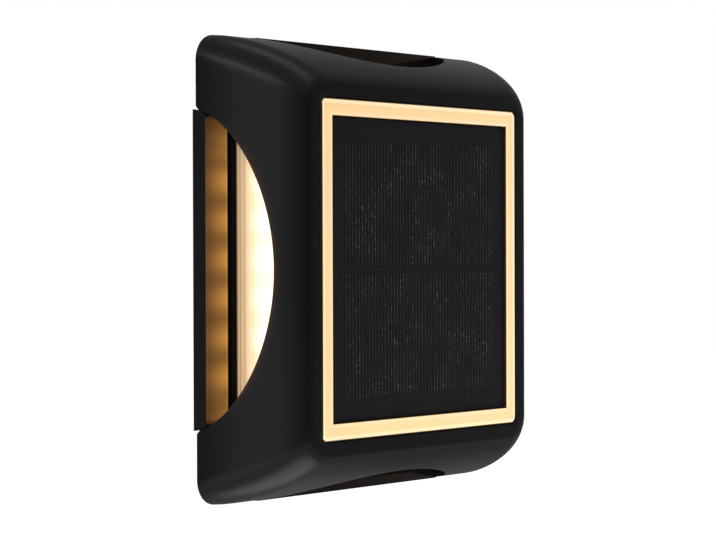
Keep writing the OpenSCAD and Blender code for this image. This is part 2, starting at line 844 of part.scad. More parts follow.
// A round wire swept along a route
module wire(points, shift_x, colour) {
    line = [for (p = route(points, 2)) [p[0] + shift_x, fy(p[2]), p[1]]];
    last = len(line) - 1;
    rings = [for (i = [0:last]) let (
        t = unit(line[min(i + 1, last)] - line[max(i - 1, 0)]),
        u = unit(cross(t, wire_tilt)), v = cross(t, u))
        [for (k = [0:wire_sides - 1]) let (a = 360 * k / wire_sides)
            line[i] + wire_r * (cos(a) * u + sin(a) * v)]];
    color(colour) polyhedron(
        points = [for (ring = rings, p = ring) p],
        faces = concat([[for (k = [0:wire_sides - 1]) wire_sides - 1 - k]],
            [[for (k = [0:wire_sides - 1]) last * wire_sides + k]],
            [for (i = [0:last - 1], k = [0:wire_sides - 1])
                let (a = i * wire_sides + k, b = i * wire_sides + (k + 1) % wire_sides)
                each [[a, b, b + wire_sides], [a, b + wire_sides, a + wire_sides]]]));
}

module wire_pair(points) {
    wire(points, -wire_pitch / 2, wire_red);
    wire(points, wire_pitch / 2, board_black);
}

module panel_wires() { wire_pair(panel_route); }
module led_wires() { wire_pair(led_route); }
module battery_wires() {
    wire(battery_route, 0, wire_red);
    wire([for (p = battery_route) [-p[0], p[1], p[2]]], 0, board_black);
}

// Cross recess in the head of a screw
module cross_recess(w, from, to) {
    block(0, 0, w, cross_w, from, to);
    block(0, 0, cross_w, w, from, to);
}

module case_screws() {
    rear = screw_seat + screw_head_h;
    color(steel) at_corners(boss_at) difference() {
        union() {
            post(0, 0, screw_r, screw_seat - screw_len, rear);
            post(0, 0, screw_head_r, screw_seat, rear);
        }
        cross_recess(cross_ratio * screw_head_r, rear - cross_deep, rear + past);
    }
}

// Small self-tapping screw with its head in front of what it holds
module small_screw(seat, length) {
    front = seat - small_head_h;
    difference() {
        union() {
            post(0, 0, small_screw_r, front, seat + length);
            post(0, 0, small_head_r, front, seat);
        }
        cross_recess(cross_ratio * small_head_r, front - past, front + small_cross_deep);
    }
}

module board_screws() { color(steel) at_board_holes() small_screw(board_at, small_screw_len); }
module carrier_screws() {
    color(steel) at_corners(ear_at) small_screw(carrier_foot - ear_t, short_screw_len);
}
module clamp_screws() { color(steel) at_strap_screws() small_screw(strap_foot_at, short_screw_len); }

outer_shell();
diffuser();
panel_cover();
solar_cells();
panel_board();
panel_tape();
base_plate();
lens_gasket();
led_carrier();
for (side = SIDES) {
    led_board(side);
    led_group(side);
}
led_links();
led_wires();
battery_cell();
battery_terminals();
battery_clamp();
battery_wires();
control_board();
control_chip();
boost_coil();
buffer_capacitor();
wire_sockets();
switch_body();
switch_plunger();
power_button();
button_seal();
panel_wires();
case_screws();
board_screws();
clamp_screws();
carrier_screws();
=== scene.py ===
# %% [markdown]
# # A square solar wall light
#
# The light is a black moulded shell with four arched cut-outs. A milky light box glows inside it,
# and its front face frames a small solar panel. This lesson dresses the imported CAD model: the
# moulded pieces that show are remade with finer surfaces, and every other piece gets a material
# of its own. The first cell loads the frame, and everything after it stays in the frame's own
# coordinates, in metres, with the wall at y = 0 and the front of the light towards -y.

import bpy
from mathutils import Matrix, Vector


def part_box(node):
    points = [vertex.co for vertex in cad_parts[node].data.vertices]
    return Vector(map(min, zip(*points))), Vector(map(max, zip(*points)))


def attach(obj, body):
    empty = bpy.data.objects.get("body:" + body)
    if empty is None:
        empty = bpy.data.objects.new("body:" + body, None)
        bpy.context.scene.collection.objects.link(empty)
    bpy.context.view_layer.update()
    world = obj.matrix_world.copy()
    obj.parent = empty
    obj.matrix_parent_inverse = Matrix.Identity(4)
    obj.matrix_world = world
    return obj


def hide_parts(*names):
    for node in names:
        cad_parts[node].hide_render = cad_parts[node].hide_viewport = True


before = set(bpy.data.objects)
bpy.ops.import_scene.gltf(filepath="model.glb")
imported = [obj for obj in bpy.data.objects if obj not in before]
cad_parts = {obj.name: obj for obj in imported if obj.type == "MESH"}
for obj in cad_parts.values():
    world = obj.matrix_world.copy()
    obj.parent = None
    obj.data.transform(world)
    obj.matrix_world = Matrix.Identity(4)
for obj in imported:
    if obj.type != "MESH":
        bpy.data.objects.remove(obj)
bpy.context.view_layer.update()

# %% Modules, and one millimetre in metres
import ast
import math

import bmesh
import bpy
from mathutils import Matrix, Vector

MM = 0.001

# %% [markdown]
# ## Two helpers for node trees
#
# Geometry and materials are both built from nodes here. Written out by hand, each node takes
# several lines, so one function adds a node with its settings and links. A second one turns a
# written formula into math nodes. It reads the formula with Python's own parser and puts down one
# node for each sign, which keeps the rule of a shape readable in one line.

# %% Add a node
def add(tree, kind, inputs=None, **settings):
    """Adds a node with its settings, and gives each input a value or a link."""
    node = tree.nodes.new(kind)
    for name, value in settings.items():
        setattr(node, name, value)
    for key, value in (inputs or {}).items():
        if isinstance(value, bpy.types.NodeSocket):
            tree.links.new(value, node.inputs[key])
        else:
            node.inputs[key].default_value = value
    return node


# %% Write a formula with nodes
SIGNS = {ast.Add: "ADD", ast.Sub: "SUBTRACT", ast.Mult: "MULTIPLY", ast.Div: "DIVIDE",
         ast.Pow: "POWER", ast.Mod: "FLOORED_MODULO", ast.Gt: "GREATER_THAN", ast.Lt: "LESS_THAN"}
CALLS = {"sin": "SINE", "cos": "COSINE", "abs": "ABSOLUTE", "sign": "SIGN", "max": "MAXIMUM",
         "floor": "FLOOR", "sqrt": "SQRT", "exp": "EXPONENT"}


def formula(tree, text, **names):
    """Math nodes for a written formula. clip(x) keeps x between 0 and 1."""
    def build(part):
        if isinstance(part, ast.Constant):
            return float(part.value)
        if isinstance(part, ast.Name):
            return names[part.id]
        if isinstance(part, ast.BinOp):
            operation, parts = SIGNS[type(part.op)], [part.left, part.right]
        elif isinstance(part, ast.Compare):
            operation, parts = SIGNS[type(part.ops[0])], [part.left, part.comparators[0]]
        elif isinstance(part, ast.UnaryOp):
            operation, parts = "MULTIPLY", [part.operand, ast.Constant(-1)]
        elif part.func.id == "clip":
            operation, parts = "ADD", [part.args[0], ast.Constant(0)]
        else:
            operation, parts = CALLS[part.func.id], part.args
        values = {i: build(value) for i, value in enumerate(parts)}
        clamp = isinstance(part, ast.Call) and part.func.id == "clip"
        return add(tree, "ShaderNodeMath", values, operation=operation, use_clamp=clamp).outputs[0]

    return build(ast.parse(text).body[0].value)


# %% [markdown]
# ## The sizes that shape the light
#
# These are the real sizes of the moulded pieces, taken from the CAD model, in metres. The shell
# swells from its front to its rear, and the radius of its corners changes on the way. Both follow
# a short rule of the depth behind the front plane, so a formula can draw the whole wall.

# %% Sizes and rules of the moulded wall
(_, front_y, _), (rear_half, shell_rear_y, _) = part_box("outer_shell")
light_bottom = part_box("base_plate")[0][2]
shell_deep = shell_rear_y - front_y
front_half = 55.9 * MM

SIZES = {
    # the wall: half its width in front, how far it swells, how deep and how thick it is
    "front": front_half, "swell": rear_half - front_half, "deep": shell_deep, "wall": 2.4 * MM,
    # the rounding of the front edge, on the face and down the side
    "edge_in": 0.8 * MM, "edge_deep": 0.9 * MM,
    # the radius of the corners in front, on the way and at the rear
    "r_front": 8.6 * MM, "r_mid": 12.8 * MM, "r_rear": 7.9 * MM,
    # half the window, and the radius of its corners
    "window": 51.1 * MM, "window_r": 3.1 * MM,
    # the ellipse of an arch: half its length, its rise, and the depth of its centre
    "arch_half": 48 * MM, "arch_rise": 27.4 * MM, "arch_centre": 35.9 * MM,
    # how much wider the arch opens at the rear edge, and over what depth it does
    "flare": 0.9 * MM, "flare_reach": 0.5 * MM,
    "front_y": front_y,
}
SWELL_IN, SWELL_OUT = 1.69, 1.34


def wall_half(depth):
    """The rule, as text, for the half width of the shell at a depth that is given as text."""
    return f"(front + swell * (1 - (1 - {depth} / deep) ** {SWELL_IN}) ** {1 / SWELL_OUT})"


def wall_radius(depth):
    """The rule for the radius of the shell's corners at a depth."""
    return (f"((1 - {depth} / deep) ** 2 * r_front + 2 * {depth} / deep * (1 - {depth} / deep)"
            f" * r_mid + ({depth} / deep) ** 2 * r_rear)")


print("shell:", round(2 * rear_half / MM, 1), "mm wide,", round(shell_deep / MM, 1), "mm deep")

# %% [markdown]
# ## Meshes from nodes
#
# Each new mesh is made by a Geometry Nodes tree from a few named sizes, so a size can change
# without drawing the piece again. One function runs a tree and keeps the mesh that it makes.

# %% Run a tree and keep its mesh
def plain(obj):
    """Turns the evaluated object into a plain mesh and takes its modifiers away."""
    evaluated = obj.evaluated_get(bpy.context.evaluated_depsgraph_get())
    mesh = bpy.data.meshes.new_from_object(evaluated)
    obj.modifiers.clear()
    obj.data = mesh
    mesh.name = obj.name
    return obj


def empty_piece(name):
    """A new object at the origin with an empty mesh."""
    obj = bpy.data.objects.new(name, bpy.data.meshes.new(name))
    bpy.context.scene.collection.objects.link(obj)
    return obj


def grown(name, build, values, material):
    """Runs a Geometry Nodes tree, written by build(tree, sizes), and keeps its mesh."""
    tree = bpy.data.node_groups.new(name, "GeometryNodeTree")
    tree.interface.new_socket("Mesh", in_out="OUTPUT", socket_type="NodeSocketGeometry")
    sockets = {key: tree.interface.new_socket(key, in_out="INPUT", socket_type="NodeSocketFloat")
               for key in values}
    start = add(tree, "NodeGroupInput")
    shape = build(tree, {key: start.outputs[key] for key in values})
    real = add(tree, "GeometryNodeRealizeInstances", {"Geometry": shape})
    painted = add(tree, "GeometryNodeSetMaterial",
                  {"Geometry": real.outputs[0], "Material": material})
    add(tree, "NodeGroupOutput", {0: painted.outputs[0]})
    obj = empty_piece(name)
    modifier = obj.modifiers.new(name, "NODES")
    modifier.node_group = tree
    for key, value in values.items():
        modifier[sockets[key].identifier] = float(value)
    plain(obj)
    print(name, "has", len(obj.data.polygons), "faces")
    return obj


# %% [markdown]
# ## From a flat grid to a quarter of a wall
#
# Each side of the light is the same, so only one side is made, with half a corner at each end, and
# three turned copies of it close the wall. A flat grid becomes that side: its columns run along
# the side and round the corner, and its rows run over the wall from one depth to another. A
# modifier or a hand-drawn mesh could do it too, but the formula keeps the exact rule of the mould,
# and the columns can follow the arched cut-out. The arch is an ellipse that opens a little more at
# its two rear ends, where the mould has a small round corner.

# %% Fold sections into a closed wall
STRAIGHT_COLUMNS, CORNER_COLUMNS = 8, 16
SIDE_COUNT = 4
WELD = 0.01 * MM


def folded_wall(sections, arch_columns):
    """A builder for grown(): each section is (rows, depth, half, radius, inset), written with u
    from 0 to 1 across the section and edge for the depth at which the wall ends."""
    def build(tree, sizes):
        joined = add(tree, "GeometryNodeJoinGeometry")
        spot = add(tree, "ShaderNodeSeparateXYZ",
                   {0: add(tree, "GeometryNodeInputPosition").outputs[0]})
        column_count = arch_columns + STRAIGHT_COLUMNS + CORNER_COLUMNS
        names = dict(sizes, v=spot.outputs[0], u=formula(tree, "v + 0.5", v=spot.outputs[1]))

        def name(key, text):
            names[key] = formula(tree, text, **names)

        name("column", f"abs(v) * {column_count}")
        name("along", f"clip(column / {arch_columns})")
        name("past", f"clip((column - {arch_columns}) / {STRAIGHT_COLUMNS})")
        name("turn", f"clip((column - {arch_columns + STRAIGHT_COLUMNS}) / {CORNER_COLUMNS})"
             f" * {math.pi / 4}")
        name("angle", f"{math.pi / 2} - along * ({math.pi / 2} - first_angle)")
        name("edge", "arch_centre - arch_rise * sin(angle)")
        name("share", "(arch_half * cos(angle) + flare * exp((edge - deep) / flare_reach))"
             f" / ({wall_half('edge')} - {wall_radius('edge')})")
        name("share", "share + (1 - share) * past")
        for rows, depth, half, radius, inset in sections:
            name("d", depth)
            name("h", half)
            name("r", radius)
            name("w", inset)
            x = formula(tree, "h - w - (r - w) * (1 - cos(turn))", **names)
            z = formula(tree, "sign(v) * (share * (h - r) + (r - w) * sin(turn))", **names)
            y = formula(tree, "front_y + d", **names)
            grid = add(tree, "GeometryNodeMeshGrid", {
                "Size X": 2.0, "Size Y": 1.0, "Vertices X": 2 * column_count + 1,
                "Vertices Y": rows + 1})
            place = add(tree, "ShaderNodeCombineXYZ", {0: x, 1: y, 2: z})
            bent = add(tree, "GeometryNodeSetPosition",
                       {"Geometry": grid.outputs[0], "Position": place.outputs[0]})
            tree.links.new(bent.outputs[0], joined.inputs[0])
        index = add(tree, "GeometryNodeInputIndex").outputs[0]
        quarter = formula(tree, f"i * {math.pi / 2}", i=index)
        turned = add(tree, "GeometryNodeInstanceOnPoints", {
            "Points": add(tree, "GeometryNodePoints", {"Count": SIDE_COUNT}).outputs[0],
            "Instance": joined.outputs[0],
            "Rotation": add(tree, "ShaderNodeCombineXYZ", {1: quarter}).outputs[0]})
        whole = add(tree, "GeometryNodeRealizeInstances", {"Geometry": turned.outputs[0]})
        return add(tree, "GeometryNodeMergeByDistance",
                   {"Geometry": whole.outputs[0], "Distance": WELD}).outputs[0]
    return build


print("a corner has", 2 * CORNER_COLUMNS, "columns")

# %% [markdown]
# ## Edges that catch the light
#
# No moulded edge is perfectly sharp: the tool leaves a radius of a few tenths of a millimetre, and
# that thin band is what draws a bright line along an edge. After the wall is welded, one function
# turns its faces outwards, rounds every edge above an angle, and shades the rest smooth. The same
# function also finishes copies of CAD pieces, whose loose triangles are merged first. Their faces
# already point the right way, so those are left as they are.

# %% Weld, round and shade a mesh
ROUND_ANGLE, FLAT_ANGLE = math.radians(30), math.radians(1)
ROUND_STEPS = 2


def softened(obj, radius, turn_out=True):
    """Welds the mesh, rounds its sharp edges to a radius in metres, and shades it smooth."""
    mesh = bmesh.new()
    mesh.from_mesh(obj.data)
    bmesh.ops.remove_doubles(mesh, verts=mesh.verts, dist=WELD)
    bmesh.ops.dissolve_degenerate(mesh, edges=mesh.edges, dist=WELD / 2)
    if turn_out:
        bmesh.ops.recalc_face_normals(mesh, faces=mesh.faces)
    else:
        bmesh.ops.dissolve_limit(mesh, verts=mesh.verts, edges=mesh.edges,
                                 angle_limit=FLAT_ANGLE)
    mesh.to_mesh(obj.data)
    mesh.free()
    if radius:
        bevel = obj.modifiers.new("rounded edges", "BEVEL")
        bevel.width = radius
        bevel.segments = ROUND_STEPS
        bevel.limit_method = "ANGLE"
        bevel.angle_limit = ROUND_ANGLE
        bevel.miter_outer = "MITER_ARC"
        plain(obj)
    obj.data.shade_smooth()
    obj.data.set_sharp_from_angle(angle=ROUND_ANGLE)
    weighted = obj.modifiers.new("flat faces stay flat", "WEIGHTED_NORMAL")
    weighted.keep_sharp = True
    plain(obj)
    print(obj.name, "is softened, and has", len(obj.data.polygons), "faces now")
    return obj


def rounded_copy(node, name, radius):
    """A softened copy of a CAD node that stands in for it."""
    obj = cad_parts[node].copy()
    obj.data = obj.data.copy()
    obj.parent = None
    for key in list(obj.keys()):
        del obj[key]
    obj.name = obj.data.name = name
    bpy.context.scene.collection.objects.link(obj)
    return softened(obj, radius, turn_out=False)


# %% [markdown]
# ## Colours and moulded plastic
#
# Colours are written as sRGB hex values, the way a paint chart gives them, and turned to linear
# light by one function. A moulded plastic is never one flat colour: its skin has a fine grain from
# the spark-eroded tool, its roughness changes a little, and its pigment is not quite even. One
# recipe makes such a skin from a colour, a roughness and a grain size, and the pieces that show
# most add to it. The colours of the black pieces are darker than they look, because a thin clear
# coat on top carries the soft streaks of the studio.

# %% A recipe for a moulded skin
PATCH = 25 * MM
ROUGH_FROM, ROUGH_MORE = 0.9, 0.2


def colour(code):
    """Linear RGBA from an sRGB hex code."""
    values = [int(code[i:i + 2], 16) / 255 for i in (1, 3, 5)]
    linear = (v / 12.92 if v <= 0.04045 else ((v + 0.055) / 1.055) ** 2.4 for v in values)
    return (*linear, 1.0)


def skin(name, shade, roughness, grain, relief, uneven=0.12, metallic=0.0, specular=0.5, **more):
    """A material with uneven colour, changing roughness and fine relief. Grain and relief are
    real lengths. Returns the material, its tree and its surface node."""
    material = bpy.data.materials.new(name)
    material.use_nodes = True
    tree = material.node_tree
    tree.nodes.clear()
    place = add(tree, "ShaderNodeTexCoord").outputs["Object"]
    broad = add(tree, "ShaderNodeTexNoise", {"Vector": place, "Scale": 1 / PATCH, "Detail": 3.0})
    fine = add(tree, "ShaderNodeTexNoise", {"Vector": place, "Scale": 1 / grain, "Detail": 2.0})
    mottled = add(tree, "ShaderNodeHueSaturation", {
        "Color": colour(shade),
        "Value": formula(tree, f"1 + {uneven} * (a + b - 1)", a=broad.outputs[0],
                         b=fine.outputs[0])})
    bump = add(tree, "ShaderNodeBump", {"Height": fine.outputs[0], "Distance": relief,
                                        "Strength": 1.0})
    surface = add(tree, "ShaderNodeBsdfPrincipled", {
        "Base Color": mottled.outputs[0], "Metallic": metallic, "Normal": bump.outputs[0],
        "Specular IOR Level": specular,
        "Roughness": formula(tree, f"{roughness} * ({ROUGH_FROM} + {ROUGH_MORE} * a)",
                             a=broad.outputs[0])})
    for key, value in more.items():
        surface.inputs[key].default_value = value
    add(tree, "ShaderNodeOutputMaterial", {"Surface": surface.outputs[0]})
    return material, tree, surface


print("mid grey #808080 is", round(colour("#808080")[0], 3), "in linear light")

# %% [markdown]
# ## Named places for a pattern
#
# Light from the box colours what stands near it, and always in the same way on each of the four
# sides. A pattern that follows a side needs to know how far along the side a point lies, how far
# out from the middle and how deep behind the front. These come from the Object coordinates, so a
# pattern stays on its piece when the piece moves.

# %% Places along, out from and behind the front of each side
def side_places(tree):
    """Named places on the light for a painted pattern, in millimetres: along the side, out from
    the middle and depth behind the front. Flank is 1 on the left and right sides."""
    place = add(tree, "ShaderNodeSeparateXYZ",
                {0: add(tree, "ShaderNodeTexCoord").outputs["Object"]})
    names = dict(x=place.outputs[0], y=place.outputs[1], z=place.outputs[2])
    names["flank"] = formula(tree, "abs(x) > abs(z)", **names)
    names["along"] = formula(
        tree, f"(flank * z * sign(x) - (1 - flank) * x * sign(z)) * {1 / MM}", **names)
    names["out"] = formula(tree, f"max(abs(x), abs(z)) * {1 / MM}", **names)
    names["depth"] = formula(tree, f"(y - {front_y}) * {1 / MM}", **names)
    return names


# %% [markdown]
# ## The shell
#
# The shell is black ABS, moulded in a tool with a fine spark-eroded texture. The wall goes once
# round from the rear edge over the outside to the front, round the front edge, over the front face
# into the window and back along the inside, so it is a true moulded wall with an inner side. Seven
# sections make it, and each arched cut-out is simply where the outer and the inner section end.

# %% Lay out the sections of the shell
OUTER_ROWS, EDGE_ROWS, FLAT_ROWS, INNER_ROWS, ARCH_COLUMNS = 20, 6, 2, 12, 48
SIZES["first_angle"] = math.asin((SIZES["arch_centre"] - shell_deep) / SIZES["arch_rise"])
front_edge = "(front - edge_in)"
shell_sections = [
    # the outside, from the rear edge or the arch to the front edge
    (OUTER_ROWS, "edge_deep + (edge - edge_deep) * (1 - u) ** 2",
     wall_half("d"), wall_radius("d"), "0"),
    # the rounding of the front edge
    (EDGE_ROWS, "edge_deep * (1 - u) ** 2",
     f"(1 - u) ** 2 * {wall_half('edge_deep')} + 2 * u * (1 - u) * front + u ** 2 * {front_edge}",
     wall_radius("d"), "0"),
    # the front face, the edge of the window and the back of the front face
    (FLAT_ROWS, "0", f"{front_edge} + (window - {front_edge}) * u",
     "r_front + (window_r - r_front) * u", "0"),
    (FLAT_ROWS, "wall * u", "window", "window_r", "0"),
    (FLAT_ROWS, "wall", f"window + ({wall_half('wall')} - wall - window) * u",
     f"window_r + ({wall_radius('wall')} - wall - window_r) * u", "0"),
    # the inside, back to the rear edge or the arch, and the edge that closes the wall
    (INNER_ROWS, "wall + (edge - wall) * u ** 2", wall_half("d"), wall_radius("d"), "wall"),
    (FLAT_ROWS, "edge", wall_half("edge"), wall_radius("edge"), "wall * (1 - u)"),
]
print("the shell has", len(shell_sections), "sections")

# %% Grow the shell
# Spark-eroded black ABS looks satin: it spreads a highlight into a soft streak along each corner,
# and shows no clear reflection. Its real grain of about 0.1 mm is drawn 0.5 mm coarse.
shell_skin, shell_tree, shell_surface = skin(
    "ABS moulded spark eroded black", "#0f0f10", 0.6, 0.5 * MM, 0.02 * MM,
    specular=0.0, **{"Coat Weight": 0.15, "Coat Roughness": 0.33})
shell = grown("moulded_shell", folded_wall(shell_sections, ARCH_COLUMNS), SIZES, shell_skin)
softened(shell, 0.3 * MM)

# %% [markdown]
# ## A warm rim round each arch
#
# Light that leaves the box grazes the cut edge of the shell and gives the black plastic a faint
# brown rim. A render of light that bounces inside so narrow a gap would be noisy, so the rim is
# painted: it fades with the distance beyond the ellipse of the arch, and towards the arch's ends.

# %% Warm the cut edges of the shell
rim_glow, flank_glow, glow_reach = 0.04, 0.1, 0.6
glow_end, glow_fade = 44, 10
arch_long, arch_high, arch_deep = (
    SIZES[key] / MM for key in ("arch_half", "arch_rise", "arch_centre"))
at = side_places(shell_tree)
at["beyond"] = formula(
    shell_tree, f"{arch_high} * (sqrt((along / {arch_long}) ** 2"
    f" + (({arch_deep} - depth) / {arch_high}) ** 2) - 1)", **at)
warmth = formula(
    shell_tree, f"({rim_glow} + {flank_glow} * flank) * exp(0 - max(beyond, 0) / {glow_reach})"
    f" * clip(({glow_end} - abs(along)) / {glow_fade})", **at)
shell_surface.inputs["Emission Color"].default_value = colour("#946437")
shell_tree.links.new(warmth, shell_surface.inputs["Emission Strength"])
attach(shell, "housing")
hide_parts("outer_shell")
print("the rim glows up to", rim_glow + flank_glow, "of white on the flanks")

# %% [markdown]
# ## The light box
#
# The light box is milky polycarbonate, open at the rear, with a square ring at its front that
# fills the shell's window. Its section is a line of places: half width, corner radius and depth.
# The same folded wall draws it, one section for each step between two places, and the edges are
# rounded afterwards, since light collects in them.

# %% Lay out the section of the light box
# half widths, corner radii and depths behind the front, in millimetres
ring_half, ring_r, ring_at = 50.8, 2.8, 0.1
sill_half, sill_r, sill_at = 45.6, 0.5, 3.6
shoulder_at, side_half, side_r, bevel_w, bevel_d = 2.6, 58.1, 14.0, 3.7, 5.0
foot_half, foot_top, foot_at = 59.0, 21.7, 26.1
box_wall, ceiling_at = 2.0, 5.4
foot_r = side_r + foot_half - side_half
inner_half, inner_r = side_half - box_wall, side_r - box_wall
box_places = [
    # the seat of the panel and the ring round it
    (0.0, 0.0, sill_at), (sill_half, sill_r, sill_at), (sill_half, sill_r, ring_at),
    (ring_half, ring_r, ring_at), (ring_half, ring_r, shoulder_at),
    # the shoulder behind the shell's front, its bevel, the side and the thick foot
    (side_half - bevel_w, side_r - bevel_w, shoulder_at),
    (side_half, side_r, shoulder_at + bevel_d), (side_half, side_r, foot_top),
    (foot_half, foot_r, foot_top), (foot_half, foot_r, foot_at),
    # the inside, from the rear back to the middle
    (inner_half, inner_r, foot_at), (inner_half, inner_r, ceiling_at + bevel_d),
    (inner_half - bevel_w, inner_r - bevel_w, ceiling_at), (0.0, 0.0, ceiling_at),
]


def straight_sections(places):
    """Sections between places given as (half, radius, depth) in millimetres."""
    sections = []
    for (half, radius, depth), (next_half, next_radius, next_depth) in zip(places, places[1:]):
        sections.append((1, *(f"{a * MM} + {(b - a) * MM} * u" for a, b in (
            (depth, next_depth), (half, next_half), (radius, next_radius))), "0"))
    return sections


print("the light box has", len(box_places) - 1, "sections and walls of", box_wall, "mm")

# %% [markdown]
# ## The light that leaves the milky plastic
#
# The milky plastic lets light from the diodes through. It is brightest where a diode stands behind
# the wall, and the hot spots run together between them. A real volume of scattering plastic would
# need a very long render, so the light that leaves the surface is painted from the place on the
# piece: the ring is an even warm tone, the side rises from cream to white round each diode, and
# the thick foot is darker. Painted bright and dark lines on the foot stand for the light and shade
# of its fine steps, and painted shade darkens the edges of the ring. The diodes' pitch and depth
# are those of the CAD's rows.

# %% Name the bright and the dark places of the milky plastic
# Milky polycarbonate hides the diodes and spreads their light, so the eye sees soft white spots
# in cream, and only a faint sheen over them.
milky, milky_tree, milky_surface = skin(
    "polycarbonate moulded milky lit", "#bfa070", 0.4, 0.4 * MM, 0.004 * MM, uneven=0.03)
diode_pitch, diode_shift, diode_at, diode_count = 11.6, 2.8, 16.0, 8
first_diode = diode_shift - (diode_count - 1) / 2 * diode_pitch
# the rule for how far a point along the side is from the nearest diode
diode_phase = (f"abs((along - {first_diode} + {diode_pitch / 2}) % {diode_pitch}"
               f" - {diode_pitch / 2})")
# a hot spot's reach along the side and in depth, its middle, and the end of a row of them
spot_wide, spot_deep, spot_at = 3.6, 5.5, diode_at - 2.5
row_reach, row_more, row_fade = diode_pitch * diode_count / 2, 2, 4
# the cream side darkens towards the foot, and the lit face is the front of the ring
cream_end, cream_fade, cream_curve = 21.4, 3.6, 1.6
foot_blur, face_end, face_fade = 0.1, 0.5, 0.25
at = side_places(milky_tree)
at["near"] = formula(milky_tree, diode_phase, **at)
at["hot"] = formula(
    milky_tree, f"exp(0 - (near / {spot_wide}) ** 2 - ((depth - {spot_at}) / {spot_deep}) ** 2)"
    f" * clip(({row_reach} + {row_more} - abs(along - {diode_shift})) / {row_fade})", **at)
at["broad"] = formula(
    milky_tree, f"clip(({cream_end} - depth) / {cream_fade}) ** {cream_curve}", **at)
at["foot"] = formula(
    milky_tree, f"clip((depth - {foot_top} + {foot_blur / 2}) / {foot_blur})", **at)
at["face"] = formula(milky_tree, f"clip(({face_end} - depth) / {face_fade})", **at)
print(diode_count, "hot spots on a side,", diode_pitch, "mm apart and", spot_at, "mm deep")

# %% Colour the side and the foot
# depth, how much brighter or darker, and half the width of each painted line on the foot: the light
# and shade of its fine steps
FOOT_STEP_SHADING = [(21.7, 1.0, 0.6), (23.3, -0.15, 0.2), (24.0, 0.15, 0.22), (24.64, -0.8, 0.22),
              (25.3, -0.3, 0.15), (25.78, -1.1, 0.22)]
spot_gain = 1.3


def line_at(way, place, reach):
    """The rule for a soft line: 1 at a place along a way, and fading on both sides of it."""
    return f"exp(0 - (({way} - {place}) / {reach}) ** 2)"


side_light = add(milky_tree, "ShaderNodeMix", {
    0: at["broad"], 6: colour("#f2b398"), 7: colour("#fff3dc")}, data_type="RGBA")
hot_light = add(milky_tree, "ShaderNodeMix", {
    0: formula(milky_tree, f"clip({spot_gain} * hot)", **at),
    6: side_light.outputs[2], 7: colour("#ffffff")}, data_type="RGBA")
# painted highlights and shade of the foot's fine steps, as brighter and darker lines
foot_step_shading = formula(milky_tree, " + ".join(
    ["1.0"] + [f"{more} * {line_at('depth', place, reach)}"
               for place, more, reach in FOOT_STEP_SHADING]), **at)
foot_light = add(milky_tree, "ShaderNodeHueSaturation", {
    "Color": colour("#aa9177"), "Value": foot_step_shading})
wall_light = add(milky_tree, "ShaderNodeMix", {
    0: at["foot"], 6: hot_light.outputs[2], 7: foot_light.outputs[0]}, data_type="RGBA")
print("the foot has", len(FOOT_STEP_SHADING), "painted lines of light and shade")

# %% Colour the ring
# place from the middle, half the width and colour of each line round the ring: a painted brighter
# glow where light collects at its two edges, and a darker line between
RING_LINES = [(49.9, 0.55, "#fff6d8"), (48.9, 0.3, "#efcc92"), (46.3, 0.45, "#fce8c8")]
ring_light = colour("#f8d29c")
for place, reach, shade in RING_LINES:
    line = formula(milky_tree, line_at("out", place, reach), **at)
    ring_light = add(milky_tree, "ShaderNodeMix", {0: line, 6: ring_light, 7: colour(shade)},
                     data_type="RGBA").outputs[2]
print("the ring has", len(RING_LINES), "lines")

# %% Paint shade on the edges of the ring, and set the strength of the light
# how far the painted shade of the rim comes in from the outer and the inner edge, its blur and its
# depth
rim_outer, rim_inner, rim_blur, rim_deep = 0.4, 0.22, 0.12, 3
# the face grows a little brighter to the right, and the side is even behind the bevel
face_level, face_middle, face_slope = 0.57, 0.97, 1.3
side_from, side_fade, side_level = 5, 2, 0.95
# what the painted shade on the rim takes from the light, how much painted shade darkens the colour
# of the rim and the foot, and the sheen
rim_loss, rim_shade, foot_shade, sheen = 0.94, 0.97, 0.45, 0.5
at["rim"] = formula(
    milky_tree, f"max(clip((out - {ring_half - rim_outer}) / {rim_blur}),"
    f" clip(({sill_half + rim_inner} - out) / {rim_blur})) * (depth < {rim_deep})", **at)
lit = add(milky_tree, "ShaderNodeMix", {
    0: at["face"], 6: wall_light.outputs[2], 7: ring_light}, data_type="RGBA")
strength = formula(
    milky_tree, f"face * {face_level} * (1 - {rim_loss} * rim)"
    f" * ({face_middle} + {face_slope} * x)"
    f" + clip((depth - {side_from}) / {side_fade}) * {side_level}", **at)
# painted shade: the rim of the ring, in its narrow gaps, and the thick foot take a darker colour
shaded = add(milky_tree, "ShaderNodeMix", {
    0: formula(milky_tree, f"max({rim_shade} * rim, {foot_shade} * foot)", **at),
    6: milky_surface.inputs["Base Color"].links[0].from_socket,
    7: colour("#1a0f05")}, data_type="RGBA")
milky_tree.links.new(shaded.outputs[2], milky_surface.inputs["Base Color"])
milky_tree.links.new(formula(milky_tree, f"{sheen} - {sheen} * rim", **at),
                     milky_surface.inputs["Specular IOR Level"])
milky_tree.links.new(lit.outputs[2], milky_surface.inputs["Emission Color"])
milky_tree.links.new(strength, milky_surface.inputs["Emission Strength"])
print("the ring glows at", face_level, "of white, and the side at", side_level)

# %% Grow the light box
BOX_COLUMNS = 12
light_box = grown("milky_light_box", folded_wall(straight_sections(box_places), BOX_COLUMNS),
                  SIZES, milky)
softened(light_box, 0.25 * MM)
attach(light_box, "housing")
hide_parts("diffuser")

# %% [markdown]
# ## The base and its lips
#
# The base is the same black plastic from a polished tool, so it is glossier than the shell. Its
# rim fills the foot of each cut-out with a flat lip. The light from the box that falls on that lip
# is painted on it as an amber glow, brighter next to the box and behind each diode. The base has
# many ribs and holes, which the CAD already holds, so a softened copy of it is enough, with the
# amber light painted on.

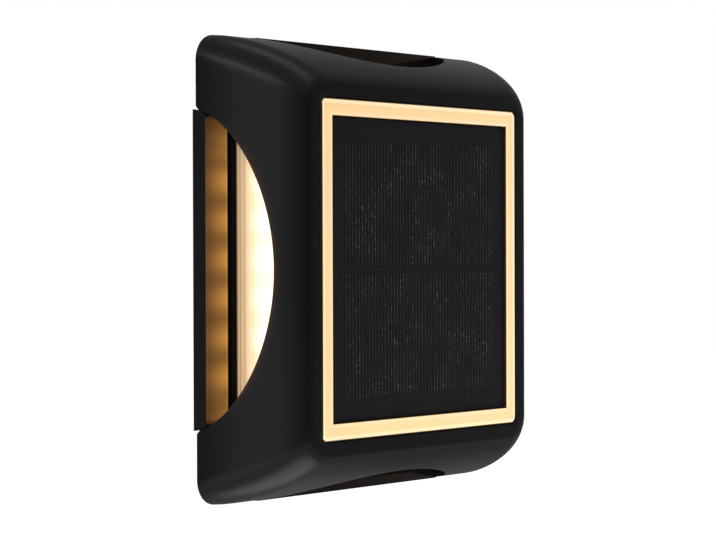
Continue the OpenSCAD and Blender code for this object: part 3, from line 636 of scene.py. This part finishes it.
# %% Say where the painted amber light lies on a lip
# Polished black ABS looks glossy: it mirrors the lamps and the lit box in clear streaks.
gloss, gloss_tree, gloss_surface = skin(
    "ABS moulded polished black with painted amber light", "#0a0a0b", 0.5, 0.8 * MM, 0.003 * MM, specular=0.0,
    **{"Coat Weight": 0.2, "Coat Roughness": 0.12})
# the front face of a lip: its depth, and where it starts and ends from the middle
lip_at, lip_in, lip_out = 28.65, 59.4, 70.0
lip_below, lip_blur, amber_in, amber_rise = 0.35, 0.3, 0.55, 0.4
# the painted amber light stops before the lip's ends, and is weaker past the last diodes
amber_end, amber_fade = 45.7, 1.6
dim_share, dim_middle, dim_from, dim_fade = 0.42, 2.2, 35.8, 3
# on the top and bottom lips the painted light fades across the lip four times as fast
top_haste = 4
at = side_places(gloss_tree)
at["near"] = formula(gloss_tree, diode_phase, **at)
at["across"] = formula(
    gloss_tree, f"clip((out - {lip_in}) / {lip_out - lip_in}"
    f" * ({top_haste} - {top_haste - 1} * flank))", **at)
at["top"] = formula(
    gloss_tree, f"clip(({lip_at + lip_below} - depth) / {lip_blur})"
    f" * clip((out - {lip_in + amber_in}) / {amber_rise})"
    f" * clip(({amber_end} - abs(along)) / {amber_fade})"
    f" * (1 - {dim_share} * clip((abs(along - {dim_middle}) - {dim_from}) / {dim_fade}))", **at)
print("the amber crosses", round(lip_out - lip_in, 1), "mm of lip")

# %% Paint the light of the box on the lips as an amber glow
# the painted light's level next to the box, its loss across the lip and the steepness of that loss,
# on flank and other lips
near_flank, near_top = 0.9, 0.85
lost_flank, lost_top = 0.66, 0.842
steep_top, steep_flank = 2, 0.7
# the wave behind the diodes: its middle, its height, and what it loses across the lip
wave_middle, wave_high, wave_lost = 0.83, 0.31, 0.13
# place, level and half the width of the painted highlights along the lip's two edges
LIP_EDGE_HIGHLIGHTS = [(lip_in + 1.1, 0.2, 0.3), (lip_out - 0.35, 0.1, 0.25)]
# painted light: the glow of the box on the lips, as amber emission on the black plastic
warm = add(gloss_tree, "ShaderNodeMix", {
    0: at["across"], 6: colour("#c68e44"), 7: colour("#bc7c38")}, data_type="RGBA")
at["fade"] = formula(
    gloss_tree, f"(flank * {near_flank} + (1 - flank) * {near_top})"
    f" - (flank * {lost_flank} + (1 - flank) * {lost_top})"
    f" * across ** ({steep_top} - flank * {steep_flank})", **at)
painted_edge_highlights = " + ".join(
    f"{level} * {line_at('out', place, reach)}" for place, level, reach in LIP_EDGE_HIGHLIGHTS)
painted_lip_light = formula(
    gloss_tree, f"top * fade * ({wave_middle} + ({wave_high} - {wave_lost} * across)"
    f" * cos(near * {2 * math.pi / diode_pitch})) + top * flank * ({painted_edge_highlights})", **at)
gloss_tree.links.new(warm.outputs[2], gloss_surface.inputs["Emission Color"])
gloss_tree.links.new(painted_lip_light, gloss_surface.inputs["Emission Strength"])
base = rounded_copy("base_plate", "glossy_base", 0.3 * MM)
base.data.materials.clear()

# %% [markdown]
# ## Close fits round the base
#
# The lips meet the arches and the rim meets the shell with hardly any gap, so no light from behind
# shows between them. The CAD keeps a wider gap there, so that no solids touch. Two small moves
# close it: each lip grows a little longer at its ends, and the rim a little wider. The vertices
# are found by the rule of the arch and by their distance from the middle.

# %% Close the base up to the shell
lip_gap, lip_longer = 0.6 * MM, 0.4 * MM
rim_at, rim_wider = 67.0 * MM, 0.2 * MM
# how near to the rim and to a lip's end a vertex has to be, and how deep the rim starts
past_rim, near_end, near_rim, rim_from = 0.1 * MM, 0.35 * MM, 0.06 * MM, 28 * MM
moved = 0
for vertex in base.data.vertices:
    side, run = (0, 2) if abs(vertex.co.x) > abs(vertex.co.z) else (2, 0)
    climb = (SIZES["arch_centre"] + front_y - vertex.co.y) / (SIZES["arch_rise"] - lip_gap)
    lip_end = (SIZES["arch_half"] - lip_gap) * math.sqrt(max(0, 1 - climb ** 2))
    out, along = abs(vertex.co[side]), abs(vertex.co[run])
    if out > rim_at - past_rim and abs(along - lip_end) < near_end:
        vertex.co[run] += math.copysign(lip_longer, vertex.co[run])
        moved += 1
    if abs(out - rim_at) < near_rim and vertex.co.y > front_y + rim_from:
        vertex.co[side] += math.copysign(rim_wider, vertex.co[side])
        moved += 1
print("moved", moved, "vertices of the base")

# %% [markdown]
# ## Polished lips, satin behind
#
# Only the lips come from the polished part of the tool, and the rear and the sides of the base
# are satin. One piece can carry both finishes, so each face takes the one for its depth, which is
# simpler than cutting the base in two.

# %% Give the rear and the sides of the base a satin finish
# Satin black ABS spreads a lamp into a broad soft sheen, a little brighter than the shell's.
satin = skin("ABS moulded satin black", "#101011", 0.5, 0.6 * MM, 0.02 * MM, uneven=0.2,
             specular=0.0, **{"Coat Weight": 0.32, "Coat Roughness": 0.3})[0]
base.data.materials.append(gloss)
base.data.materials.append(satin)
satin_behind = 0.6
satin_from = front_y + (lip_at + satin_behind) * MM
for face in base.data.polygons:
    face.material_index = int(face.center.y > satin_from)
print("satin faces on the base:", sum(face.material_index for face in base.data.polygons))
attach(base, "housing")
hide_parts("base_plate")

# %% [markdown]
# ## The solar panel
#
# Two dark silicon cells lie under a clear cover. What gives such a panel its look are the
# silver fingers printed on each cell: hair-thin lines, 1.6 mm apart, that sparkle where they catch
# the light. They repeat, so a small Geometry Nodes tree sets thin bars along each cell. Real
# fingers are under 0.1 mm wide, too fine for this render, so they are drawn 0.42 mm wide.

# %% Mix the silver paste
# Screen-printed silver paste is a patchy dull grey whose grains sparkle. The sparkle is painted
# into the colour as bright grains, drawn 0.75 mm coarse, since the real ones are too fine to show.
silver, silver_tree, silver_surface = skin(
    "silver paste screen printed", "#373634", 0.5, 0.8 * MM, 0.004 * MM, specular=0.1)
patch_size, grain_size = 9 * MM, 0.75 * MM
# the level of a dull patch, how much a bright one adds, and where patches and painted glints start
dull, bright, patch_from, patch_gain = 0.2, 1.1, 0.3, 2.2
even, spark, spark_from, spark_gain = 0.4, 5, 0.59, 8
place = add(silver_tree, "ShaderNodeTexCoord").outputs["Object"]
patchy = add(silver_tree, "ShaderNodeTexNoise", {
    "Vector": place, "Scale": 1 / patch_size}).outputs[0]
grainy = add(silver_tree, "ShaderNodeTexNoise", {
    "Vector": place, "Scale": 1 / grain_size}).outputs[0]
# painted glints: bright grains in the colour of the bright patches
painted_glints = add(silver_tree, "ShaderNodeHueSaturation", {
    "Color": colour("#373634"), "Value": formula(
        silver_tree, f"{dull} + {bright} * clip((a - {patch_from}) * {patch_gain})"
        f" * ({even} + {spark} * clip((b - {spark_from}) * {spark_gain}))", a=patchy, b=grainy)})
silver_tree.links.new(painted_glints.outputs[0], silver_surface.inputs["Base Color"])
print("patches of", round(patch_size / MM), "mm")

# %% Measure the cells and space the fingers
cell_low, cell_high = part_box("solar_cells")
finger_pitch, finger_wide, finger_high = 1.6 * MM, 0.42 * MM, 0.02 * MM
finger_margin, finger_end, finger_shift = 0.9 * MM, 0.7 * MM, 0.5 * MM
cell_split = 1.0 * MM
cell_half = (cell_high[0] - cell_low[0]) / 2
finger_count = int((2 * cell_half - 2 * finger_margin) / finger_pitch) + 1
finger_long = cell_half - cell_split / 2 - 2 * finger_end
print(finger_count, "fingers,", round(finger_long / MM, 1), "mm long")

# %% Print the fingers on the cells
# keeps a whole number from being rounded down
HAIR = 0.001


def printed_fingers(tree, sizes):
    """Rows of thin bars on both cells."""
    bar = add(tree, "GeometryNodeMeshCube", {
        "Size": add(tree, "ShaderNodeCombineXYZ", {
            0: sizes["wide"], 1: sizes["high"], 2: sizes["long"]}).outputs[0]})
    index = add(tree, "GeometryNodeInputIndex").outputs[0]
    column = formula(tree, f"i % {finger_count}", i=index)
    row = formula(tree, f"floor(i / {finger_count} + {HAIR})", i=index)
    x = formula(tree, f"(c - {(finger_count - 1) / 2}) * pitch + {finger_shift}", c=column, **sizes)
    z = formula(tree, f"(r - 0.5) * {cell_half + cell_split / 2}", r=row)
    dots = add(tree, "GeometryNodePoints", {
        "Count": 2 * finger_count,
        "Position": add(tree, "ShaderNodeCombineXYZ", {0: x, 1: sizes["at"], 2: z}).outputs[0]})
    return add(tree, "GeometryNodeInstanceOnPoints", {
        "Points": dots.outputs[0], "Instance": bar.outputs[0]}).outputs[0]


fingers = grown("printed_fingers", printed_fingers, {
    "wide": finger_wide, "high": finger_high, "long": finger_long, "pitch": finger_pitch,
    "at": cell_low[1]}, silver)
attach(fingers, "housing")

# %% [markdown]
# ## The clear cover and its printed border
#
# The cells are sealed under clear epoxy. A black border is printed on the underside of that
# cover, and hides the edges of the cells and the gap between them. Ink has next to no thickness,
# so it is a dense part of the cover's own material, chosen by its depth and its distance from
# the middle.

# %% Mix the silicon and the clear cover
under_glaze = {"Coat Weight": 0.12, "Coat Roughness": 0.3}
# Etched silicon is nearly black and swallows most light. The glaze over it adds a soft sheen.
silicon = skin("silicon etched dark", "#161516", 0.5, 0.5 * MM, 0.004 * MM, uneven=0.3,
               specular=0.0, **under_glaze)[0]
# Clear cast epoxy lets the cells show through. Its border looks like one solid dark frame.
clear, clear_tree, clear_surface = skin(
    "epoxy cast clear over a black printed border", "#1a181b", 0.3, 2 * MM, 0.003 * MM,
    specular=0.0, **under_glaze)
clear_dense, print_at, print_in, split_half = 0.05, 0.9, 39.1, 0.7 * MM
border = formula(
    clear_tree, f"{clear_dense} + {1 - clear_dense} * (depth > {print_at})"
    f" * max(out > {print_in}, abs(z) < {split_half})", **side_places(clear_tree))
clear_tree.links.new(border, clear_surface.inputs["Alpha"])
print("the border starts", print_in, "mm from the middle")

# %% Cast the cover over the cells
COVER_COLUMNS = 4
cover_at, cover_under, cover_r = 0.3, 1.06, 0.5
cover_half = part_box("panel_cover")[1][0] / MM
cover_places = [(0.0, 0.0, cover_under), (cover_half, cover_r, cover_under),
                (cover_half, cover_r, cover_at), (0.0, 0.0, cover_at)]
cover = softened(grown("clear_cover", folded_wall(straight_sections(cover_places), COVER_COLUMNS),
                       SIZES, clear), 0)
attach(cover, "housing")
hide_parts("panel_cover")

# %% [markdown]
# ## The parts inside and behind
#
# The circuit boards, the cell, the wires and the screws are carried over from the CAD. Each gets
# the finish of what it is: solder mask over glass fibre, zinc-plated steel, enamelled copper,
# silicone, foam, and the yellow phosphor of the diodes. All of them use the one recipe, and a
# table names the nodes that wear each finish.

# %% Mix the finishes of the carried-over pieces
# White ABS is bright and faintly warm, with blurred highlights.
white_abs = skin("ABS moulded white", "#dedbd2", 0.45, 0.5 * MM, 0.008 * MM)[0]
# Dark grey ABS makes the button stand out a little from the black base.
dark_abs = skin("ABS moulded dark grey", "#2e2f31", 0.5, 0.4 * MM, 0.01 * MM)[0]
# Black solder mask is a dull near-black with the soft sheen of the cells in front of it.
black_mask = skin("solder mask black over glass fibre", "#1f1d20", 0.6, 0.6 * MM, 0.006 * MM,
                  specular=0.0, **under_glaze)[0]
# White and green solder mask are semi-gloss over the slight wave of the fibre.
white_mask = skin("solder mask white over glass fibre", "#e6e4dc", 0.35, 0.6 * MM, 0.006 * MM)[0]
green_mask = skin("solder mask green over glass fibre", "#1f6b3e", 0.35, 0.6 * MM, 0.006 * MM)[0]
# Closed-cell foam looks matt and blotchy, since its cut bubbles catch no highlight.
foam = skin("polyethylene foam closed cell grey", "#4a4a4c", 0.95, 0.4 * MM, 0.06 * MM,
            uneven=0.3)[0]
# Silicone is matt and smooth, with a dusty look.
rubber = skin("silicone moulded grey", "#7d7f82", 0.7, 0.3 * MM, 0.01 * MM)[0]
# Phosphor glows a warm yellow of its own.
phosphor = skin("phosphor in epoxy yellow lit", "#f0cf6a", 0.4, 0.2 * MM, 0.01 * MM,
                **{"Emission Color": colour("#ffdc96"), "Emission Strength": 1.0})[0]
# Enamelled copper wire is reddish, and each turn carries a bright metal line.
copper = skin("copper wound enamelled", "#b4693f", 0.32, 0.3 * MM, 0.02 * MM, metallic=1.0)[0]
# Zinc plate is a cool bright grey metal, slightly hazy.
steel = skin("steel zinc plated", "#b9bbbe", 0.34, 0.25 * MM, 0.006 * MM, metallic=1.0)[0]
# A shrink sleeve is glossy, with broad shallow waves where it has drawn tight.
sleeve = skin("PVC shrink sleeve blue", "#2c5d9c", 0.28, 3 * MM, 0.02 * MM)[0]
# Wire insulation is a strong colour with one clean highlight along the wire.
insulation = skin("PVC wire insulation red", "#9a221c", 0.4, 0.4 * MM, 0.01 * MM)[0]
# Moulded epoxy is a dry black with a fine tooth.
epoxy = skin("epoxy moulded black", "#17171a", 0.55, 0.3 * MM, 0.01 * MM, specular=0.3)[0]
print("materials in the scene so far:", len(bpy.data.materials))

# %% Give every carried-over piece its finish
FINISHES = [
    (silicon, "solar_cells"), (black_mask, "panel_board"), (foam, "panel_tape"),
    (rubber, "lens_gasket button_seal"), (white_abs, "led_carrier battery_clamp switch_plunger"),
    (white_mask, "led_board_left led_board_right led_board_top led_board_bottom"),
    (phosphor, "leds_left leds_right leds_top leds_bottom"), (copper, "led_links boost_coil"),
    (insulation, "led_wires battery_wires panel_wires"), (sleeve, "battery_cell buffer_capacitor"),
    (steel, "battery_terminals case_screws board_screws clamp_screws carrier_screws"),
    (green_mask, "control_board"), (epoxy, "control_chip switch_body"),
    (white_abs, "wire_sockets"), (dark_abs, "power_button"),
]
for finish, names in FINISHES:
    for name in names.split():
        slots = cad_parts[name].data.materials
        slots.clear()
        slots.append(finish)
print("finished", sum(len(names.split()) for _, names in FINISHES), "carried-over pieces")

# %% [markdown]
# ## The camera
#
# The light hangs in a plain white studio and is seen from its left, at the height of its middle.
# The lens is long, so its edges stay nearly parallel. The camera's place is worked out from its
# angle, its distance and how far the light stands off the middle of the picture, which is easier
# to change than a matrix.

# %% Camera
view_azimuth, view_height, view_roll = -52.526, 0.507, -0.166
view_distance, view_right, view_up = 754.646 * MM, -20.48 * MM, -0.45 * MM
lens_length, sensor_width, nearest = 122.326, 36.0, 10 * MM
camera_data = bpy.data.cameras.new("camera")
camera_data.lens, camera_data.sensor_width = lens_length, sensor_width
camera_data.clip_start = nearest
camera = bpy.data.objects.new("camera", camera_data)
turn = (Matrix.Rotation(math.radians(view_azimuth), 4, "Z")
        @ Matrix.Rotation(math.radians(90 - view_height), 4, "X")
        @ Matrix.Rotation(math.radians(view_roll), 4, "Z"))
stand = Vector((0, front_y, 0)) + turn @ Vector((view_right, view_up, view_distance))
camera.matrix_world = Matrix.Translation(stand) @ turn
bpy.context.scene.collection.objects.link(camera)
bpy.context.scene.camera = camera
print("camera at", [round(v / MM, 1) for v in stand], "mm")

# %% [markdown]
# ## Lamps
#
# Soft boxes make the streaks on the shell's corners: a long one overhead, one high on the left,
# and two low ones that shine up, a broad one below the light and a slim one on its left. Small
# hard lamps would leave bright dots on the plastic, so every lamp is a broad panel.

# %% Hang the soft boxes
# name, middle in metres from the light's front, width, height and brightness, with white at 1
SOFT_BOXES = [
    ("soft box left", (-1.0, -0.1, 0.66), 1.1, 0.2, 12.6),
    ("soft box overhead", (0.12, -0.3, 1.15), 1.3, 0.26, 6.5),
    ("soft box low", (-0.025, -0.05, -0.3), 0.28, 0.21, 8.2),
    ("soft box low left", (-0.34, -0.035, -0.215), 0.36, 0.05, 3.6),
]
LONG_WAY = Vector((0, 1, 0))


def soft_box(name, middle, wide, high, radiance):
    """An area lamp that faces the light, with its long side running from front to rear."""
    lamp = bpy.data.lights.new(name, "AREA")
    lamp.shape, lamp.size, lamp.size_y = "RECTANGLE", wide, high
    lamp.energy = math.pi * wide * high * radiance
    obj = bpy.data.objects.new(name, lamp)
    back = Vector(middle).normalized()
    across = (LONG_WAY - LONG_WAY.dot(back) * back).normalized()
    turned = Matrix((across, back.cross(across), back)).transposed()
    obj.matrix_world = (Matrix.Translation(Vector((0, front_y, 0)) + Vector(middle))
                        @ turned.to_4x4())
    obj.visible_camera = False
    bpy.context.scene.collection.objects.link(obj)
    print(name, "gives", round(lamp.energy, 2), "W")


for values in SOFT_BOXES:
    soft_box(*values)

# %% [markdown]
# ## Cards for the reflections
#
# Black plastic shows mainly what it mirrors, and in a plain white room it would be grey all over.
# So curved cards stand round the light, as flags and reflectors do in a studio: dark ones in
# front, behind on the left and low on the right, and two white ones whose reflections draw the
# streaks. Only reflections see them, so they throw no shadow and the camera looks past them.

# %% Stand the cards round the light
# name, first and last angle in degrees from the front, bottom and top in metres, tone, distance
CARDS = [
    ("card black front", -55, 22, -0.42, 0.42, 0.0, 0.9),
    ("card grey front", 22, 56, -0.42, 0.42, 0.3, 0.9),
    ("card white left", -98, -66, -0.42, 0.42, 2.6, 0.9),
    ("card grey rear", -160, -116, -0.42, 0.42, 0.1, 0.9),
    ("card white rear", 108, 140, 0.05, 0.5, 2.0, 0.9),
    ("card grey low", 75, 117, -0.315, -0.21, 0.3, 0.3),
]
CARD_STEPS = 12


def card(name, start, end, low, high, tone, reach):
    """A curved card round the light. Tone 0 is black and tone 1 is the white of the studio."""
    # A card gives the eye only an even tone in a reflection.
    paint, _, surface = skin(f"card tone {tone}", "#050505", 1.0, 1 * MM, 0.0, specular=0.0)
    surface.inputs["Emission Color"].default_value = colour("#ffffff")
    surface.inputs["Emission Strength"].default_value = tone
    angles = [math.radians(start + (end - start) * i / CARD_STEPS) for i in range(CARD_STEPS + 1)]
    obj = empty_piece(name)
    obj.data.from_pydata(
        [(reach * math.sin(a), front_y - reach * math.cos(a), z)
         for a in angles for z in (low, high)],
        [], [(2 * i, 2 * i + 2, 2 * i + 3, 2 * i + 1) for i in range(CARD_STEPS)])
    obj.data.materials.append(paint)
    obj.visible_camera = obj.visible_diffuse = obj.visible_shadow = False
    obj.visible_transmission = obj.visible_volume_scatter = False


for values in CARDS:
    card(*values)
print("cards round the light:", len(CARDS))

# %% [markdown]
# ## Room and floor
#
# The room gives a plain even light. It is full white only where the camera, a reflection or a
# clear piece looks at it, so the background stays clean while the plastic stays dark. White
# paper lies well below the light, and is lifted to white in the same way.

# %% Light the room
plain_level = 0.42


def seen(tree):
    """1 for a ray that looks from the camera, a reflection or a clear piece, and 0 otherwise."""
    rays = add(tree, "ShaderNodeLightPath").outputs
    return formula(tree, "max(max(c, g), t)", c=rays["Is Camera Ray"], g=rays["Is Glossy Ray"],
                   t=rays["Is Transmission Ray"])


world = bpy.data.worlds.new("studio")
bpy.context.scene.world = world
world.use_nodes = True
room = world.node_tree
room.nodes.clear()
sky = add(room, "ShaderNodeBackground", {
    "Strength": formula(room, f"{plain_level} + {1 - plain_level} * s", s=seen(room)),
    "Color": colour("#ffffff")})
add(room, "ShaderNodeOutputWorld", {"Surface": sky.outputs[0]})
print("the room lights with", plain_level, "of white")

# %% Lay the floor
# Matt paper has no shine, only a faint unevenness in its white.
floor_skin, floor_tree, floor_surface = skin("paper matt white", "#e6e6e6", 0.9, 5 * MM, 0.0,
                                             uneven=0.02, specular=0.1)
floor_lift, floor_drop, floor_half = 0.7, 0.25, 6.0
lift = formula(floor_tree, f"{floor_lift} * s", s=seen(floor_tree))
floor_surface.inputs["Emission Color"].default_value = colour("#ffffff")
floor_tree.links.new(lift, floor_surface.inputs["Emission Strength"])
floor = empty_piece("floor")
level = light_bottom - floor_drop
floor.data.from_pydata([(x * floor_half, y * floor_half, level)
                        for x, y in ((-1, -1), (1, -1), (1, 1), (-1, 1))], [], [(0, 1, 2, 3)])
floor.data.materials.append(floor_skin)
bpy.context.scene.view_settings.view_transform = "Standard"
print("the floor lies at", round(level / MM), "mm")
